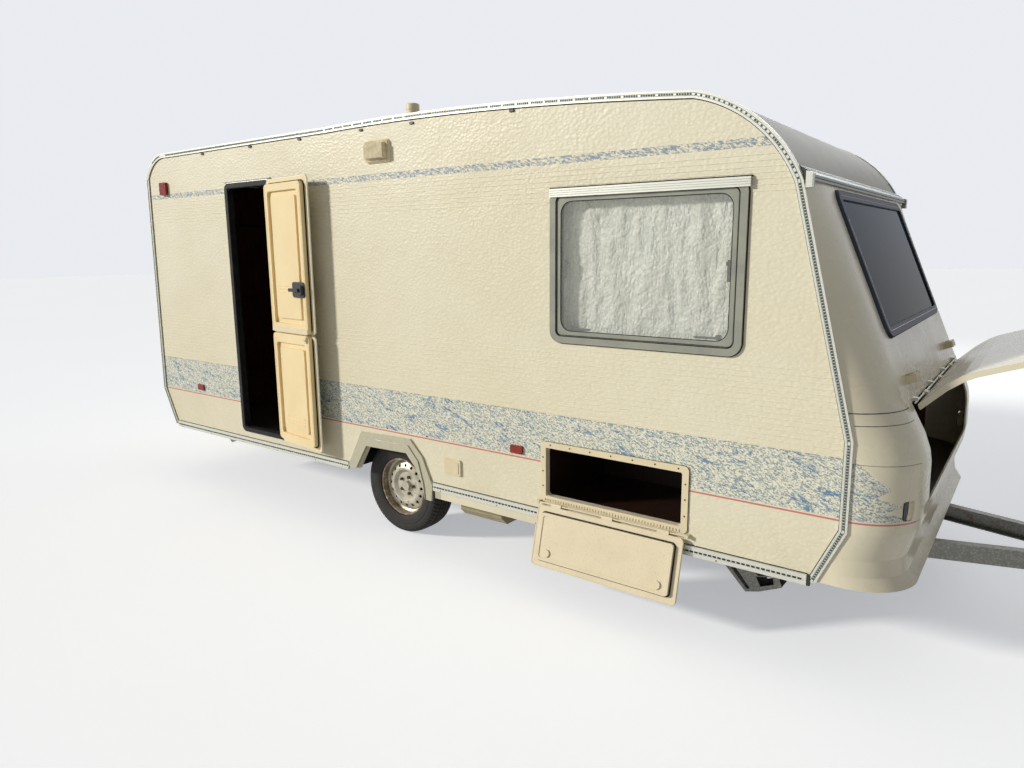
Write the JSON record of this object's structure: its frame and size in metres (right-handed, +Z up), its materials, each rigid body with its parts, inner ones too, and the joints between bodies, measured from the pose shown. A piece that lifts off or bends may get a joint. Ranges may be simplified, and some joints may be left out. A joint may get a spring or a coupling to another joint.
{
  "type": "travel caravan",
  "caption": "Single-axle touring caravan with a stable door, luggage hatch, gas locker lid, corner steadies and a jockey wheel.",
  "frame": {"origin": "centre of the towing ball in the coupling head, 0.43 m above the ground", "axes": "+X forward towards the towing vehicle, +Y to the caravan's left side, +Z up"},
  "size_m": [6.7503, 2.3747, 2.648],
  "materials": {
    "shell_cream": "cream painted sheet with a hammered grain on a light foam sandwich",
    "moulding_cream": "glossy glass-fibre moulding",
    "roof_white": "pale grey painted sheet on a light foam sandwich",
    "trim_aluminium": "satin extruded aluminium",
    "frame_grey": "grey-blue moulded frame",
    "pane_acrylic": "clear acrylic",
    "blind_silver": "crinkled foil thermal blind",
    "gasket_black": "black rubber seal",
    "plastic_black": "black moulded plastic",
    "door_beige": "aged beige moulded liner",
    "wood_brown": "brown wood-grain board",
    "floor_grey": "sealed plywood floor",
    "lamp_amber": "amber lens",
    "lamp_red": "red lens",
    "lamp_clear": "clear ribbed lens",
    "plastic_cream": "cream moulded plastic",
    "steel_galvanised": "galvanised steel",
    "cast_iron": "rusty cast iron",
    "rim_silver": "silver painted steel, dirty at the edge",
    "tyre_rubber": "worn road tyre",
    "tank_white": "aged white polyethylene"
  },
  "bodies": {
    "root": {"floor_panel": "floor_grey", "wall_right": "shell_cream", "wall_left": "shell_cream", "roof_panel": "roof_white", "rear_panel": "shell_cream", "front_panel": "moulding_cream", "front_fairing": "moulding_cream", "gas_locker": "wood_brown", "lid_hinge": "trim_aluminium", "awning_rails": "trim_aluminium", "brow_rail": "trim_aluminium", "sill_trims": "trim_aluminium", "side_skirts": "moulding_cream", "wheel_arches": "moulding_cream", "wheel_boxes": "plastic_black", "window_frames": "frame_grey", "window_panes": "pane_acrylic", "window_blinds": "blind_silver", "window_rails": "trim_aluminium", "door_frame": "gasket_black", "hatch_frame": "plastic_cream", "hatch_locker": "wood_brown", "furniture": "wood_brown", "awning_lamp": "lamp_clear", "roof_vent": "plastic_cream", "rooflight": "lamp_clear", "grab_handles": "plastic_cream", "side_markers": "lamp_amber", "service_cap": "plastic_cream", "fridge_vents": "plastic_cream", "rear_lamps": "lamp_red", "front_lamps": "lamp_clear", "chassis_rails": "steel_galvanised", "drawbar": "steel_galvanised", "axle": "steel_galvanised", "overrun_hitch": "cast_iron", "coupling_head": "steel_galvanised", "handbrake_lever": "plastic_black", "jockey_mast": "steel_galvanised", "waste_tank": "tank_white", "steady_brackets": "steel_galvanised"},
    "wheel_right": {"tyre_right": "tyre_rubber", "rim_right": "rim_silver", "drum_right": "cast_iron"},
    "wheel_left": {"tyre_left": "tyre_rubber", "rim_left": "rim_silver", "drum_left": "cast_iron"},
    "jockey_fork": {"jockey_fork": "steel_galvanised"},
    "jockey_wheel": {"jockey_wheel": "gasket_black"},
    "door_upper": {"door_upper": "door_beige", "door_latch": "plastic_black"},
    "door_lower": {"door_lower": "door_beige"},
    "hatch_flap": {"hatch_flap": "door_beige"},
    "locker_lid": {"locker_lid": "moulding_cream"},
    "steady_front_right": {"steady_front_right": "steel_galvanised"},
    "steady_front_left": {"steady_front_left": "steel_galvanised"},
    "steady_rear_right": {"steady_rear_right": "steel_galvanised"},
    "steady_rear_left": {"steady_rear_left": "steel_galvanised"}
  },
  "joints": [
    {"name": "wheel_right_spin", "type": "hinge", "parent": "root", "child": "wheel_right", "pos_m": [-4.039, -0.93, -0.128], "axis": [0, 1, 0], "continuous": true},
    {"name": "wheel_left_spin", "type": "hinge", "parent": "root", "child": "wheel_left", "pos_m": [-4.039, 0.93, -0.128], "axis": [0, 1, 0], "continuous": true},
    {"name": "jockey_swivel", "type": "hinge", "parent": "root", "child": "jockey_fork", "pos_m": [-0.413, -0.15, 0.07], "axis": [0, 0, 1], "continuous": true},
    {"name": "jockey_wheel_spin", "type": "hinge", "parent": "jockey_fork", "child": "jockey_wheel", "pos_m": [-0.458, -0.15, -0.33], "axis": [0, 1, 0], "continuous": true},
    {"name": "door_upper_hinge", "type": "hinge", "parent": "root", "child": "door_upper", "pos_m": [-5.083, -1.122, 1.27], "axis": [0, 0, 1], "range_deg": [-173, 0]},
    {"name": "door_lower_hinge", "type": "hinge", "parent": "root", "child": "door_lower", "pos_m": [-5.083, -1.122, 0.43], "axis": [0, 0, 1], "range_deg": [-173, 0]},
    {"name": "hatch_hinge", "type": "hinge", "parent": "root", "child": "hatch_flap", "pos_m": [-2.4935, -1.122, 0.04], "axis": [1, 0, 0], "range_deg": [-166, 0]},
    {"name": "lid_hinge", "type": "hinge", "parent": "root", "child": "locker_lid", "pos_m": [-1.247, 0, 0.707], "axis": [0, 1, 0], "range_deg": [0, 108]},
    {"name": "steady_front_right_fold", "type": "hinge", "parent": "root", "child": "steady_front_right", "pos_m": [-2.083, -0.76, -0.068], "axis": [0, 1, 0], "range_deg": [-22, 38]},
    {"name": "steady_front_left_fold", "type": "hinge", "parent": "root", "child": "steady_front_left", "pos_m": [-2.083, 0.76, -0.068], "axis": [0, 1, 0], "range_deg": [-22, 38]},
    {"name": "steady_rear_right_fold", "type": "hinge", "parent": "root", "child": "steady_rear_right", "pos_m": [-5.963, -0.76, -0.068], "axis": [0, 1, 0], "range_deg": [-60, 0]},
    {"name": "steady_rear_left_fold", "type": "hinge", "parent": "root", "child": "steady_rear_left", "pos_m": [-5.963, 0.76, -0.068], "axis": [0, 1, 0], "range_deg": [-60, 0]}
  ]
}
